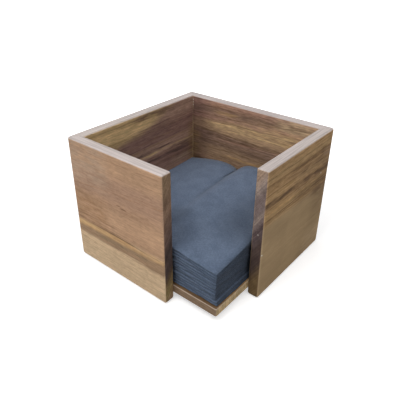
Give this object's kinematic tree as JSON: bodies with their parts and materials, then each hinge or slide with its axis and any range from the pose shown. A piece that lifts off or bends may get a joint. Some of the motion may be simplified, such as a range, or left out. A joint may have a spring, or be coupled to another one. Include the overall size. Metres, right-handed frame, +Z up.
{
  "type": "napkin holder",
  "caption": "Square open-topped wooden napkin box with one corner cut away down to a raised base, holding a pile of quarter-folded paper napkins.",
  "frame": {"origin": "on the table under the middle of the square box", "axes": "+Z up, +X to the right, and the cut-away corner at +X and -Y"},
  "size_m": [0.19, 0.19, 0.14],
  "materials": {
    "acacia_wood": "satin",
    "joinery_wood": "matte",
    "napkin_paper": "matte"
  },
  "bodies": {
    "holder": {"front_wall": "acacia_wood", "right_wall": "acacia_wood", "back_wall": "acacia_wood", "left_wall": "acacia_wood", "base_panel": "acacia_wood", "mitre_spline_front_left": "joinery_wood", "mitre_spline_back_right": "joinery_wood", "mitre_spline_back_left": "joinery_wood", "base_dowels_front": "joinery_wood", "base_dowels_right": "joinery_wood", "base_dowels_back": "joinery_wood", "base_dowels_left": "joinery_wood"},
    "napkin_pile": {"napkin_01": "napkin_paper", "napkin_02": "napkin_paper", "napkin_03": "napkin_paper", "napkin_04": "napkin_paper", "napkin_05": "napkin_paper", "napkin_06": "napkin_paper", "napkin_07": "napkin_paper", "napkin_08": "napkin_paper", "napkin_09": "napkin_paper", "napkin_10": "napkin_paper", "napkin_11": "napkin_paper", "napkin_12": "napkin_paper"},
    "top_napkin": {"napkin_13": "napkin_paper"}
  },
  "joints": [
    {"name": "napkin_pile_lift", "type": "slide", "parent": "holder", "child": "napkin_pile", "axis": [0, 0, 1], "range_m": [0, 0.13]},
    {"name": "top_napkin_lift", "type": "slide", "parent": "napkin_pile", "child": "top_napkin", "axis": [0, 0, 1], "range_m": [0, 0.13]}
  ]
}
